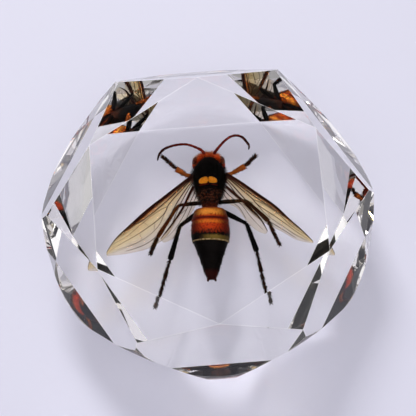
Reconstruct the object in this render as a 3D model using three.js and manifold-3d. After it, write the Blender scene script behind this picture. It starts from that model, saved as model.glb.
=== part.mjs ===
// A hornet sealed in a clear resin paperweight with a faceted rim.
// Units are millimetres and +Z is up. The origin is the middle of the base, and the insect lies
// level inside the block with its head towards +Y.
import * as THREE from "three";
import { mergeVertices } from "three/addons/utils/BufferGeometryUtils.js";
import Module from "manifold-3d";

const wasm = await Module();
wasm.setup();

// ---- Driving dimensions: the block ----
const BLOCK_THICKNESS = 27.5;
const GIRDLE_RADIUS = 38; // round side of the blank that the facets are cut from
const GIRDLE_SEGMENTS = 78;
const TABLE_RADIUS = 30; // top hexagon, centre to corner
const BASE_RADIUS = 29; // bottom hexagon, centre to corner
const TABLE_TURN = 34.8; // azimuth of the top hexagon's first corner, in degrees
const HEXAGON_STEP = 60;
const HALF_STEP = HEXAGON_STEP / 2; // the bottom hexagon is turned by this against the top one
// Slopes of the facets from the horizontal, in degrees.
const TOP_CORNER_SLOPE = 60;
const TOP_EDGE_SLOPE = 16.5;
const BOTTOM_CORNER_SLOPE = 65;
const BOTTOM_EDGE_SLOPE = 42;
const CUTTER_SIZE = 120; // larger than the block, so that a cutter always reaches past it
const PARTING_GAP = 0.3; // between the two halves of the block
const POCKET_CLEARANCE = 0.5; // all round the insect

// ---- Driving dimensions: the hornet, in its own frame ----
const BODY_X = 0.4; // the insect's long axis stands this far off the middle of the block
const BODY_HEIGHT = 14; // and this high above the base
const BODY_LEAN = 1.4; // degrees that the body is turned about +Z, its head to the left
const BODY_SIDES = 14;
const POCKET_SIDES = 12;
const LIMB_SIDES = 6;

// Turned profiles along the body: [radius, y].
const THORAX = {
  profile: [
    [0, 1.2], [1.1, 1.3], [1.9, 2], [2.4, 3.2], [3.05, 4.8], [3.6, 6.4], [3.9, 8.2],
    [3.75, 9.6], [3.3, 10.8], [2.45, 12], [1.4, 13], [0, 13.5],
  ],
  flat: 0.86, // height over width
};
const ABDOMEN = {
  profile: [
    [0, -16.8], [0.95, -16.2], [1.95, -13.7], [2.15, -13.5], [2.65, -11.7], [2.85, -11.5],
    [3.5, -9.6], [3.7, -9.4], [4.25, -7.3], [4.45, -7.1], [4.5, -5.2], [4.4, -3.2],
    [3.95, -1.4], [3.3, 0.1], [2.5, 0.8], [0, 1.4],
  ],
  flat: 0.8,
};

// Ellipsoids: centre and half sizes. Those with a mirrored twin state x from the long axis.
const HEAD = { centre: [BODY_X, 12.5, -0.8], half: [3.85, 2.35, 2.5] };
const EYE = { centre: [2.75, 13, -0.8], half: [1.05, 1.25, 1.8] };
const JAW = { centre: [0.8, 13.9, -2.6], half: [0.7, 0.95, 0.6] };
const SCUTELLUM = { centre: [1, 7.15, 3], half: [1.1, 0.95, 0.8] };
const TAIL_TIP = { from: [0.45, -15.9, 0], to: [0.85, -17.1, -0.1], radii: [0.32, 0.28, 0.14] };

// Feelers: a bent turned rod through these points, thickest at the head.
const ANTENNA_RADII = [0.34, 0.3, 0.27, 0.27, 0.27, 0.25, 0.22, 0.16];
const ANTENNAE = [
  [[-0.9, 13.9, 0.9], [-1.3, 14.5, 1.2], [-3.2, 15.6, 1.5], [-5.1, 16.2, 1.5], [-6.9, 16.2, 1.3],
    [-8.8, 15.8, 1.1], [-10.4, 15.1, 0.8], [-11.4, 13.9, 0.5], [-11.8, 12.4, 0.3]],
  [[1.4, 13.9, 0.9], [1.7, 14.5, 1.2], [2.8, 15.9, 1.6], [4, 17.2, 1.8], [5.2, 18.1, 1.7],
    [6.6, 18.5, 1.4], [8, 18.1, 1], [8.9, 17.1, 0.7], [9.4, 15.2, 0.2]],
];

// Legs: hip, knee and ankle joints, then the last joint of the foot.
const LEGS = [
  // front left
  {
    girth: 0.95, hip: [-1.5, 8.6, -2.6], knee: [-5.1, 9.3, -1.7],
    ankle: [-7.4, 10.7, -1.2], foot: [-10.7, 14, -1.6],
  },
  // front right
  {
    girth: 0.95, hip: [2.3, 8.6, -2.6], knee: [5.6, 9.8, -1.7],
    ankle: [8.5, 11.4, -1.2], foot: [11, 14.2, -1.6],
  },
  // middle left
  {
    girth: 1, hip: [-0.8, 2.4, -1.5], knee: [-6.9, 1.6, -1],
    ankle: [-11.6, -6, -1.8], foot: [-13.2, -9.9, -2.2],
  },
  // middle right
  {
    girth: 1, hip: [1.4, 2.4, -1.5], knee: [8.8, 2.8, -1],
    ankle: [13.8, -2, -1.8], foot: [16.3, -7.7, -2.2],
  },
  // hind left
  {
    girth: 1.05, hip: [-0.4, 1.3, -1.6], knee: [-6.5, -3.3, -1.6],
    ankle: [-8.7, -11.4, -2.2], foot: [-11.3, -21, -2.8],
  },
  // hind right
  {
    girth: 1.05, hip: [1.2, 1.3, -1.6], knee: [8.8, -2.7, -1.6],
    ankle: [11.1, -9.4, -2], foot: [13.3, -20, -2.8],
  },
];
const THIGH_RADII = [0.4, 0.56, 0.4];
const SHIN_RADII = [0.34, 0.42, 0.46];
const FOOT_JOINTS = 5;
const FOOT_RADII = [0.22, 0.34]; // narrow and wide end of each foot joint
const FOOT_SIDES = 5;
const CLAW_RADII = [0.16, 0.06];
const CLAW_LENGTH = 0.9;
const CLAW_SPREAD = 28; // degrees to either side of the foot

// Wings: the leading edge runs from the root to the tip, and the trailing edge back to the root.
// A wing rises from tipHeight at its tip to rootHeight at its root.
const WING_THICKNESS = 0.28;
const EDGE_RADII = [0.36, 0.36, 0.32, 0.26, 0.16]; // of a front wing's leading edge, from its root
const WINGS = [
  {
    lead: [[-3.2, 9], [-8.9, 4.2], [-14.2, -0.1], [-17.6, -3.3], [-21.6, -7.5], [-23, -9.9]],
    trail: [[-23.1, -10.9], [-18.4, -10.5], [-12.7, -8.9], [-9.6, -5.6], [-5.9, 1.2], [-3.2, 6.2]],
    edgeRadii: EDGE_RADII, rootHeight: 1.7, tipHeight: 0,
  },
  {
    lead: [[3.8, 9.4], [6.3, 7.6], [11.1, 4.2], [15.7, 0.8], [18.8, -2.3], [21.6, -4.9], [24, -7.5]],
    trail: [[22, -7.6], [20.2, -7.1], [17.2, -5.4], [12.4, -2.8], [7.4, 1.7], [3.9, 6.2]],
    edgeRadii: EDGE_RADII, rootHeight: 1.7, tipHeight: 0,
  },
  {
    lead: [[-3.2, 6.4], [-6.4, -0.4], [-10.9, -7.1]],
    trail: [[-9.8, -7.8], [-8.2, -7.1], [-5.5, -3.7], [-3, 0.2], [-1.6, 3.4]],
    rootHeight: 1.1, tipHeight: 0.1,
  },
  {
    lead: [[3.9, 6.4], [9.7, 0.6], [12.4, -2.7], [13.5, -5.4]],
    trail: [[11.9, -5.4], [9, -3], [6.7, 0.4], [3.2, 2.5], [2.4, 4]],
    rootHeight: 1.1, tipHeight: 0.1,
  },
];
const WING_REACH = 24; // from the long axis to the tips, over which a wing's height falls

// ---- Solids ----

// A closed geometry as a solid. A mesh that came out inside out is turned round.
function solidOf(geometry) {
  const bare = geometry.index ? geometry.toNonIndexed() : geometry.clone();
  for (const name of Object.keys(bare.attributes)) {
    if (name !== "position") bare.deleteAttribute(name);
  }
  const merged = mergeVertices(bare, 1e-4);
  const triVerts = new Uint32Array(merged.index.array);
  const make = () => new wasm.Manifold(
    new wasm.Mesh({ numProp: 3, vertProperties: merged.attributes.position.array, triVerts }),
  );
  const solid = make();
  if (solid.volume() > 0) return solid;
  for (let i = 0; i < triVerts.length; i += 3) {
    [triVerts[i + 1], triVerts[i + 2]] = [triVerts[i + 2], triVerts[i + 1]];
  }
  return make();
}

function joined(solids) {
  return solids.reduce((sum, solid) => sum.add(solid));
}

function largestBody(solid) {
  return solid.decompose().reduce((a, b) => (b.volume() > a.volume() ? b : a));
}

function geometryOf(solid) {
  const mesh = solid.getMesh();
  const geometry = new THREE.BufferGeometry();
  const places = new Float32Array(mesh.vertProperties);
  geometry.setAttribute("position", new THREE.BufferAttribute(places, 3));
  geometry.setIndex(new THREE.BufferAttribute(new Uint32Array(mesh.triVerts), 1));
  geometry.computeVertexNormals();
  return geometry;
}

// ---- The block ----

// A large box whose inner face is a facet: the plane through the point at `azimuth`, `reach` from the
// axis and at height z. It slopes by `slope` and faces outwards at `azimuth`, up (1) or down (-1).
function facetCutter(azimuth, reach, z, slope, facing) {
  const a = THREE.MathUtils.degToRad(azimuth);
  const s = THREE.MathUtils.degToRad(slope);
  const tilt = Math.sin(s);
  const out = new THREE.Vector3(Math.cos(a) * tilt, Math.sin(a) * tilt, facing * Math.cos(s));
  const centre = new THREE.Vector3(reach * Math.cos(a), reach * Math.sin(a), z)
    .addScaledVector(out, CUTTER_SIZE / 2);
  const turn = new THREE.Quaternion().setFromUnitVectors(new THREE.Vector3(0, 0, 1), out);
  const box = new THREE.BoxGeometry(CUTTER_SIZE, CUTTER_SIZE, CUTTER_SIZE);
  return solidOf(box.applyQuaternion(turn).translate(centre.x, centre.y, centre.z));
}

// The round blank, cut by rings of facets above and below: a shallow facet along every edge of each
// hexagon and a steep one on every corner.
function facetedBlock() {
  const radius = GIRDLE_RADIUS;
  const blank = new THREE.CylinderGeometry(radius, radius, BLOCK_THICKNESS, GIRDLE_SEGMENTS);
  blank.rotateX(Math.PI / 2).translate(0, 0, BLOCK_THICKNESS / 2);
  const toEdge = Math.cos(THREE.MathUtils.degToRad(HALF_STEP));
  let block = solidOf(blank);
  for (let azimuth = TABLE_TURN; azimuth < TABLE_TURN + 360; azimuth += HEXAGON_STEP) {
    const between = azimuth + HALF_STEP;
    block = block
      .subtract(facetCutter(azimuth, TABLE_RADIUS, BLOCK_THICKNESS, TOP_CORNER_SLOPE, 1))
      .subtract(facetCutter(between, TABLE_RADIUS * toEdge, BLOCK_THICKNESS, TOP_EDGE_SLOPE, 1))
      .subtract(facetCutter(azimuth, BASE_RADIUS * toEdge, 0, BOTTOM_EDGE_SLOPE, -1))
      .subtract(facetCutter(between, BASE_RADIUS, 0, BOTTOM_CORNER_SLOPE, -1));
  }
  return block;
}

// One side of the parting plane, which lies at the height of the insect's body.
function halfOf(block, side) {
  const box = new THREE.BoxGeometry(CUTTER_SIZE, CUTTER_SIZE, CUTTER_SIZE);
  box.translate(0, 0, BODY_HEIGHT + side * (CUTTER_SIZE / 2 + PARTING_GAP / 2));
  return largestBody(block.intersect(solidOf(box)));
}

// ---- The hornet. `grow` swells every piece, which gives the pocket. ----

function ellipsoid({ centre, half }, grow, sides, mirror = 1) {
  const x = mirror === 0 ? centre[0] : BODY_X + mirror * centre[0];
  const geometry = new THREE.SphereGeometry(1, sides, Math.round(sides / 2) + 1);
  geometry.rotateX(Math.PI / 2);
  geometry.scale(half[0] + grow, half[1] + grow, half[2] + grow);
  return solidOf(geometry.translate(x, centre[1], centre[2]));
}

// A profile turned about the long axis and flattened a little.
function turnedBody({ profile, flat }, grow, sides) {
  const last = profile.length - 1;
  const points = profile.map(([radius, y], i) => {
    const atEnd = i === 0 ? -grow : i === last ? grow : 0;
    return new THREE.Vector2(radius > 0 ? radius + grow : 0, y + atEnd);
  });
  const geometry = new THREE.LatheGeometry(points, sides);
  return solidOf(geometry.scale(1, 1, flat + (grow ? 0.02 : 0)).translate(BODY_X, 0, 0));
}

// A straight turned rod from a to b through [radius, distance along it] rings, with a pointed end
// at each side.
function turnedRod(a, b, rings, grow, sides) {
  const from = new THREE.Vector3(...a);
  const along = new THREE.Vector3(...b).sub(from).normalize();
  const points = rings.map(([radius, y]) => new THREE.Vector2(radius + grow, y));
  const [first, last] = [points[0], points[points.length - 1]];
  points.unshift(new THREE.Vector2(0, first.y - first.x / 2));
  points.push(new THREE.Vector2(0, last.y + last.x / 2));
  const turn = new THREE.Quaternion().setFromUnitVectors(new THREE.Vector3(0, 1, 0), along);
  return solidOf(new THREE.LatheGeometry(points, sides).applyQuaternion(turn).translate(...a));
}

// A limb joint from a to b with these radii, evenly spaced from its start to its end.
function limbJoint(a, b, radii, grow, sides) {
  const length = new THREE.Vector3(...a).distanceTo(new THREE.Vector3(...b));
  const step = length / (radii.length - 1);
  return turnedRod(a, b, radii.map((radius, i) => [radius, i * step]), grow, sides);
}

// A turned rod bent along a smooth curve: the rod's rings are carried to the curve, each square to it.
function bentRod(through, radii, grow, sides) {
  const knots = through.map((p) => new THREE.Vector3(...p));
  const curve = new THREE.CatmullRomCurve3(knots, false, "centripetal");
  const rings = through.length + 1;
  const radiusAt = (t) => {
    const place = t * (radii.length - 1);
    const i = Math.min(Math.floor(place), radii.length - 2);
    return grow + THREE.MathUtils.lerp(radii[i], radii[i + 1], place - i);
  };
  const stations = Array.from({ length: rings }, (_, i) => i / (rings - 1));
  const points = [new THREE.Vector2(0, 0), ...stations.map((t) => new THREE.Vector2(radiusAt(t), t)),
    new THREE.Vector2(0, 1)];
  const geometry = new THREE.LatheGeometry(points, sides);
  const position = geometry.attributes.position;
  const up = new THREE.Vector3(0, 0, 1);
  for (let i = 0; i < position.count; i += 1) {
    const t = position.getY(i);
    const tangent = curve.getTangentAt(t);
    const across = tangent.clone().cross(up).normalize();
    const lift = across.clone().cross(tangent);
    const at = curve.getPointAt(t)
      .addScaledVector(tangent, t === 0 ? -grow : t === 1 ? grow : 0)
      .addScaledVector(across, position.getX(i))
      .addScaledVector(lift, position.getZ(i));
    position.setXYZ(i, at.x, at.y, at.z);
  }
  return solidOf(geometry);
}

function wingHeight(wing, x) {
  const share = Math.min(Math.abs(x - BODY_X) / WING_REACH, 1);
  return THREE.MathUtils.lerp(wing.rootHeight, wing.tipHeight, share);
}

// A thin plate between a smooth leading and trailing edge. A front wing's leading edge is thicker.
function wingSolids(wing, grow) {
  const shape = new THREE.Shape();
  const plane = (points) => points.map(([x, y]) => new THREE.Vector2(x, y));
  shape.moveTo(...wing.lead[0]);
  shape.splineThru(plane(wing.lead.slice(1)));
  shape.lineTo(...wing.trail[0]);
  shape.splineThru(plane(wing.trail.slice(1)));
  const plate = new THREE.ExtrudeGeometry(shape, {
    depth: WING_THICKNESS, curveSegments: grow ? 1 : 2,
    bevelEnabled: grow > 0, bevelSize: grow, bevelThickness: grow, bevelSegments: 1,
  });
  const position = plate.attributes.position;
  for (let i = 0; i < position.count; i += 1) {
    const lift = wingHeight(wing, position.getX(i)) - WING_THICKNESS / 2;
    position.setZ(i, position.getZ(i) + lift);
  }
  if (!wing.edgeRadii) return [solidOf(plate)];
  const edge = wing.lead.map(([x, y]) => [x, y, wingHeight(wing, x)]);
  return [solidOf(plate), bentRod(edge, wing.edgeRadii, grow, LIMB_SIDES)];
}

function legSolids(leg, grow) {
  const scale = (radii) => radii.map((radius) => radius * leg.girth);
  const solids = [
    limbJoint(leg.hip, leg.knee, scale(THIGH_RADII), grow, LIMB_SIDES),
    limbJoint(leg.knee, leg.ankle, scale(SHIN_RADII), grow, LIMB_SIDES),
  ];
  const ankle = new THREE.Vector3(...leg.ankle);
  const foot = new THREE.Vector3(...leg.foot);
  const out = foot.clone().sub(ankle).normalize();
  const length = foot.distanceTo(ankle);
  if (grow) {
    const wide = FOOT_RADII[1];
    const rings = [[wide, 0], [wide, length], [CLAW_LENGTH / 2, length + CLAW_LENGTH]];
    solids.push(turnedRod(leg.ankle, leg.foot, rings, grow, LIMB_SIDES));
    return solids;
  }
  // The first foot joint is as long as the other four together.
  const share = (i) => (i === 0 ? 0 : 0.5 + (0.5 * (i - 1)) / (FOOT_JOINTS - 1));
  const rings = [];
  for (let joint = 0; joint < FOOT_JOINTS; joint += 1) {
    rings.push([FOOT_RADII[0], share(joint) * length + 0.05]);
    rings.push([FOOT_RADII[1], share(joint + 1) * length]);
  }
  solids.push(turnedRod(leg.ankle, leg.foot, rings, 0, FOOT_SIDES));
  for (const side of [-1, 1]) {
    const spread = THREE.MathUtils.degToRad(side * CLAW_SPREAD);
    const turned = out.clone().applyAxisAngle(new THREE.Vector3(0, 0, 1), spread);
    const tip = foot.clone().addScaledVector(turned, CLAW_LENGTH);
    solids.push(limbJoint(leg.foot, tip.toArray(), CLAW_RADII, 0, FOOT_SIDES - 1));
  }
  return solids;
}

function hornet(grow) {
  const round = grow ? POCKET_SIDES : BODY_SIDES;
  const body = [
    turnedBody(THORAX, grow, round),
    turnedBody(ABDOMEN, grow, round),
    ellipsoid(HEAD, grow, round, 0),
  ];
  const limbs = [
    ...ANTENNAE.map((points) => bentRod(points, ANTENNA_RADII, grow, LIMB_SIDES)),
    ...WINGS.flatMap((wing) => wingSolids(wing, grow)),
    ...LEGS.flatMap((leg) => legSolids(leg, grow)),
  ];
  for (const side of [-1, 1]) {
    const mirrored = ([x, y, z]) => [BODY_X + side * x, y, z];
    body.push(
      ellipsoid(EYE, grow, 10, side),
      ellipsoid(JAW, grow, LIMB_SIDES, side),
      ellipsoid(SCUTELLUM, grow, 10, side),
      limbJoint(mirrored(TAIL_TIP.from), mirrored(TAIL_TIP.to), TAIL_TIP.radii, grow, LIMB_SIDES),
    );
  }
  const leaning = joined(body)
    .translate([-BODY_X, 0, 0])
    .rotate([0, 0, BODY_LEAN])
    .translate([BODY_X, 0, 0]);
  return joined([leaning, ...limbs]).translate([0, 0, BODY_HEIGHT]);
}

// ---- The object ----

const RESIN = { color: 0xf3f4f8, roughness: 0.03, metalness: 0, transparent: true, opacity: 0.35 };
const INSECT = { color: 0x3d1b0c, roughness: 0.45, metalness: 0 };

function namedMesh(name, solid, finish) {
  const mesh = new THREE.Mesh(geometryOf(solid), new THREE.MeshStandardMaterial(finish));
  mesh.name = name;
  return mesh;
}

const hollowBlock = facetedBlock().subtract(hornet(POCKET_CLEARANCE));
const paperweight = new THREE.Group();
paperweight.add(
  namedMesh("resin_upper_half", halfOf(hollowBlock, 1), RESIN),
  namedMesh("resin_lower_half", halfOf(hollowBlock, -1), RESIN),
  namedMesh("hornet", largestBody(hornet(0)), INSECT),
);

export default paperweight;
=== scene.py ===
"""A hornet sealed in a clear, faceted resin paperweight, on a pale studio floor.

Sizes inside the functions are in millimetres, in the insect's own frame: x to its right, y towards
its head, h above its long axis. `place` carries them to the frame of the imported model, in metres.
"""

import math

import bmesh
import bpy
import numpy as np
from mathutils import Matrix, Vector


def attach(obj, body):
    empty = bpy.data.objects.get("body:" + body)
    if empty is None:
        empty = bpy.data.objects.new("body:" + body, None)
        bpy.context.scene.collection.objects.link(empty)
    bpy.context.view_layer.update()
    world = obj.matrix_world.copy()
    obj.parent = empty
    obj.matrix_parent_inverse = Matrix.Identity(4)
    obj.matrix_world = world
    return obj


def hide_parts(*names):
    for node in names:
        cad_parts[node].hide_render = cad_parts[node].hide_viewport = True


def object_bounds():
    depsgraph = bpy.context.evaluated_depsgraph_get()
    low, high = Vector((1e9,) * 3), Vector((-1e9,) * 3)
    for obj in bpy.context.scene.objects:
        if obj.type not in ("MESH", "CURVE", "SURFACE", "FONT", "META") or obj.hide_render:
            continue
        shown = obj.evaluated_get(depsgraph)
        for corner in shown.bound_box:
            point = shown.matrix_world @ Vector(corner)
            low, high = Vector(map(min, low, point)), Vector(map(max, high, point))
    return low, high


bl_info = {
    "name": "Hornet paperweight",
    "version": (1, 0, 0),
    "blender": (4, 5, 0),
    "location": "3D View > Sidebar > Paperweight",
    "description": "Builds a hornet sealed in a clear resin block with a faceted rim",
    "category": "Object",
}

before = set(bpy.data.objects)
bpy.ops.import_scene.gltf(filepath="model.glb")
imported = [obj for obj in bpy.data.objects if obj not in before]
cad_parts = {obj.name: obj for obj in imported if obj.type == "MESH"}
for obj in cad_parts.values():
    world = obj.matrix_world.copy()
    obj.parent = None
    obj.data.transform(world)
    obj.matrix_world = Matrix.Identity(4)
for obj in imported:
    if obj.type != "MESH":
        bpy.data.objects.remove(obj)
CAD_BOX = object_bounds()

MM = 0.001
BODY = "root"
SEED = 7


# ---- Smooth curves and skins ----


def through(x, knots, values):
    """Smooth values at x: a cubic between each two knots, whose slopes are the knots' own mean slopes."""
    knots = np.asarray(knots, float)
    values = np.asarray(values, float)
    slopes = np.gradient(values, knots, axis=0)
    i = np.clip(np.searchsorted(knots, x) - 1, 0, len(knots) - 2)
    step = knots[i + 1] - knots[i]
    t = (x - knots[i]) / step
    if values.ndim > 1:
        t, step = t[..., None], step[..., None]
    start = (1 + 2 * t) * (1 - t) ** 2 * values[i] + t * (1 - t) ** 2 * step * slopes[i]
    return start + t * t * (3 - 2 * t) * values[i + 1] + t * t * (t - 1) * step * slopes[i + 1]


def path_through(points, samples):
    """A smooth path of evenly spaced samples through points, measured along their chords."""
    points = np.asarray(points, float)
    along = np.concatenate([[0], np.cumsum(np.linalg.norm(np.diff(points, axis=0), axis=1))])
    return through(np.linspace(0, along[-1], samples), along, points)


def unit(vectors):
    return vectors / np.maximum(np.linalg.norm(vectors, axis=-1, keepdims=True), 1e-12)


def tubes(paths, radii, sides):
    """Rings carried along paths (count, rings, 3), each square to its path: radius times
    (cos a across + sin a upwards), where across is level unless the path is upright."""
    tangent = unit(np.gradient(paths, axis=1))
    upright = np.abs(tangent[..., 2:]).mean(axis=1, keepdims=True) > 0.9
    up = np.where(upright, [1.0, 0, 0], [0, 0, 1.0])
    across = unit(np.cross(tangent, up))
    lift = np.cross(across, tangent)
    a = np.linspace(0, 2 * np.pi, sides, endpoint=False)
    turn = np.cos(a)[:, None] * across[..., None, :] + np.sin(a)[:, None] * lift[..., None, :]
    return paths[..., None, :] + np.asarray(radii)[..., None, None] * turn


def spindles(starts, ends, shape, sides, bow=0.0):
    """Tubes on straight lines whose middle is raised by bow. shape is rows of (share of the length,
    radius)."""
    starts, ends = np.atleast_2d(starts).astype(float), np.atleast_2d(ends).astype(float)
    share = np.asarray(shape, float)[:, 0]
    radii = np.broadcast_to(np.asarray(shape, float)[:, 1], (len(starts), len(share)))
    paths = starts[:, None] + share[None, :, None] * (ends - starts)[:, None]
    paths[..., 2] += bow * np.sin(np.pi * np.clip(share, 0, 1))
    return tubes(paths, radii, sides)


def spheroids(centres, halves, rows=15, sides=20):
    """Ellipsoids: rings from pole to pole along y, of radius sin a at y = -cos a, scaled by halves."""
    centres, halves = np.atleast_2d(centres).astype(float), np.atleast_2d(halves).astype(float)
    a = np.linspace(0, np.pi, rows)[:, None]
    b = np.linspace(0, 2 * np.pi, sides, endpoint=False)[None, :]
    ball = np.stack([np.sin(a) * np.cos(b), -np.cos(a) + 0 * b, np.sin(a) * np.sin(b)], axis=-1)
    return centres[:, None, None, :] + halves[:, None, None, :] * ball


class Skin:
    """Closed skins over rings (count, rows, columns, 3). The first and last ring of each shrink to a
    point, and the faces are turned outwards by the sign of the enclosed volume."""

    def __init__(self, rings, **values):
        rings = rings if rings.ndim == 4 else rings[None]
        count, rows, columns = rings.shape[:3]
        ends = rings[:, [0, -1]].mean(axis=2)
        inner = rings[:, 1:-1].reshape(count, -1, 3)
        verts = np.concatenate([ends[:, :1], inner, ends[:, 1:]], axis=1)
        each = verts.shape[1]
        i = 1 + columns * np.arange(rows - 3)[:, None]
        j = np.arange(columns)
        k = (j + 1) % columns
        quads = np.stack([i + j, i + k, i + columns + k, i + columns + j], axis=-1).reshape(-1, 4)
        last = 1 + columns * (rows - 3)
        head = np.stack([0 * j, 1 + k, 1 + j], axis=-1)
        tail = np.stack([0 * j + each - 1, last + j, last + k], axis=-1)
        shift = each * np.arange(count)[:, None, None]
        self.verts = verts.reshape(-1, 3)
        self.quads = (quads + shift).reshape(-1, 4)
        self.tris = (np.concatenate([head, tail]) + shift).reshape(-1, 3)
        self.values = {name: self._spread(value, rings.shape[:3]) for name, value in values.items()}
        if self._volume() < 0:
            self.quads = self.quads[:, ::-1]
            self.tris = self.tris[:, ::-1]

    @staticmethod
    def _spread(value, shape):
        value = np.broadcast_to(value, shape)
        ends = value[:, [0, -1]].mean(axis=2)
        inner = value[:, 1:-1].reshape(shape[0], -1)
        return np.concatenate([ends[:, :1], inner, ends[:, 1:]], axis=1).ravel()

    def _volume(self):
        corners = np.concatenate([self.tris, self.quads[:, :3], self.quads[:, [0, 2, 3]]])
        a, b, c = (self.verts[corners[:, n]] for n in range(3))
        return np.einsum("ij,ij->i", a, np.cross(b, c)).sum()


def place(points, settings, lean):
    """From the insect's frame in millimetres, turned about its upright by lean, to the model's in
    metres."""
    x, y, h = points.T
    cos, sin = math.cos(lean), math.sin(lean)
    turned = np.stack([x * cos - y * sin, x * sin + y * cos, h], axis=-1)
    return (turned + [settings.axis_x / MM, 0, settings.axis_height / MM]) * MM


def make_piece(name, skins, settings, material, lean=0.0):
    """One mesh object from skins, riding on the fixed body."""
    counts = np.cumsum([0] + [len(skin.verts) for skin in skins])
    verts = place(np.concatenate([skin.verts for skin in skins]), settings, lean)
    quads = np.concatenate([skin.quads + n for skin, n in zip(skins, counts)])
    tris = np.concatenate([skin.tris + n for skin, n in zip(skins, counts)])
    corners = np.concatenate([quads.ravel(), tris.ravel()])
    starts = np.concatenate([4 * np.arange(len(quads)), 4 * len(quads) + 3 * np.arange(len(tris))])
    mesh = bpy.data.meshes.new(name)
    mesh.vertices.add(len(verts))
    mesh.vertices.foreach_set("co", verts.ravel())
    mesh.loops.add(len(corners))
    mesh.loops.foreach_set("vertex_index", corners.astype(np.int32))
    mesh.polygons.add(len(starts))
    mesh.polygons.foreach_set("loop_start", starts.astype(np.int32))
    mesh.polygons.foreach_set("use_smooth", np.ones(len(starts), bool))
    for key in skins[0].values:
        layer = mesh.attributes.new(key, "FLOAT", "POINT")
        layer.data.foreach_set("value", np.concatenate([skin.values[key] for skin in skins]))
    mesh.update(calc_edges=True)
    if mesh.validate():
        raise RuntimeError(f"{name} has faces that Blender had to repair")
    piece = bpy.data.objects.new(name, mesh)
    bpy.context.scene.collection.objects.link(piece)
    piece.data.materials.append(material)
    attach(piece, BODY)
    return piece


# ---- Shader expressions ----


def rgb(red, green, blue):
    """A colour of 0 to 255 screen values as linear light, with full alpha."""
    share = np.array([red, green, blue]) / 255
    linear = np.where(share <= 0.04045, share / 12.92, ((share + 0.055) / 1.055) ** 2.4)
    return (*linear.tolist(), 1.0)


class Term:
    """A socket in a shader expression. Sums, differences and products of terms add Math nodes."""

    def __init__(self, shader, socket):
        self.shader = shader
        self.socket = socket

    def _math(self, operation, *values):
        return self.shader.node("ShaderNodeMath", {"operation": operation}, dict(enumerate(values)))

    def __add__(self, other):
        return self._math("ADD", self, other)

    __radd__ = __add__

    def __sub__(self, other):
        return self._math("SUBTRACT", self, other)

    def __rsub__(self, other):
        return self._math("SUBTRACT", other, self)

    def __mul__(self, other):
        return self._math("MULTIPLY", self, other)

    __rmul__ = __mul__

    def absolute(self):
        return self._math("ABSOLUTE", self)

    def step(self, low, high):
        """0 below low, 1 above high and a smooth ramp between them. low may be above high."""
        settings = {"interpolation_type": "SMOOTHSTEP"}
        sockets = {"Value": self, "From Min": low, "From Max": high}
        return self.shader.node("ShaderNodeMapRange", settings, sockets)


class Shader:
    """A material or the room under construction, with one method that adds any node."""

    def __init__(self, name, kind="materials"):
        self.made = getattr(bpy.data, kind).new(name)
        self.made.use_nodes = True
        self.tree = self.made.node_tree
        self.tree.nodes.clear()

    def node(self, kind, settings=None, sockets=None, output=0):
        made = self.tree.nodes.new(kind)
        for key, value in (settings or {}).items():
            setattr(made, key, value)
        for key, value in (sockets or {}).items():
            if isinstance(value, Term):
                self.tree.links.new(value.socket, made.inputs[key])
            else:
                made.inputs[key].default_value = value
        return Term(self, made.outputs[output]) if made.outputs else made

    def mix(self, factor, first, second):
        """A colour from first to second."""
        return self.node("ShaderNodeMix", {"data_type": "RGBA"}, {0: factor, 6: first, 7: second}, 2)

    def coordinates(self):
        return self.node("ShaderNodeTexCoord", output=3)

    def split(self, vector):
        sockets = self.node("ShaderNodeSeparateXYZ", None, {0: vector}).socket.node.outputs
        return [Term(self, socket) for socket in sockets]

    def axes(self):
        """The object's x, y and z in millimetres."""
        return [part * (1 / MM) for part in self.split(self.coordinates())]

    def scaled(self, per_mm, stretch=(1, 1, 1)):
        """The object's coordinates with this many units to a millimetre."""
        scale = tuple(per_mm / MM * share for share in stretch)
        return self.node("ShaderNodeMapping", {"vector_type": "POINT"}, {0: self.coordinates(), 3: scale})

    def noise(self, per_mm, detail=3.0, stretch=(1, 1, 1)):
        """Fractal noise of 0 to 1 with this many cells to a millimetre."""
        at = self.scaled(per_mm, stretch)
        sockets = {"Vector": at, "Scale": 1.0, "Detail": detail, "Roughness": 0.55}
        return self.node("ShaderNodeTexNoise", None, sockets)

    def pits(self, per_mm):
        """Distance to the nearest of scattered points, with this many points to a millimetre."""
        return self.node("ShaderNodeTexVoronoi", None, {"Vector": self.scaled(per_mm), "Scale": 1.0})

    def attribute(self, name):
        return self.node("ShaderNodeAttribute", {"attribute_name": name}, output=2)

    def bump(self, height, strength, distance_mm):
        sockets = {"Height": height, "Strength": strength, "Distance": distance_mm * MM}
        return self.node("ShaderNodeBump", None, sockets)

    def principled(self, **sockets):
        named = {key.replace("_", " "): value for key, value in sockets.items()}
        return self.node("ShaderNodeBsdfPrincipled", None, named)

    def finish(self, surface, volume=None):
        sockets = {"Surface": surface}
        if volume is not None:
            sockets["Volume"] = volume
        self.node("ShaderNodeOutputMaterial", None, sockets)
        return self.made


# ---- Settings ----


def length(name, description, default):
    return bpy.props.FloatProperty(
        name=name, description=description, default=default, min=0.0, unit="LENGTH", precision=5
    )


def slope(name, description, degrees):
    return bpy.props.FloatProperty(
        name=name, description=description, default=math.radians(degrees), subtype="ANGLE"
    )


def colour(name, description, red, green, blue):
    return bpy.props.FloatVectorProperty(
        name=name, description=description, default=rgb(red, green, blue), size=4,
        min=0.0, max=1.0, subtype="COLOR",
    )


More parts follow.
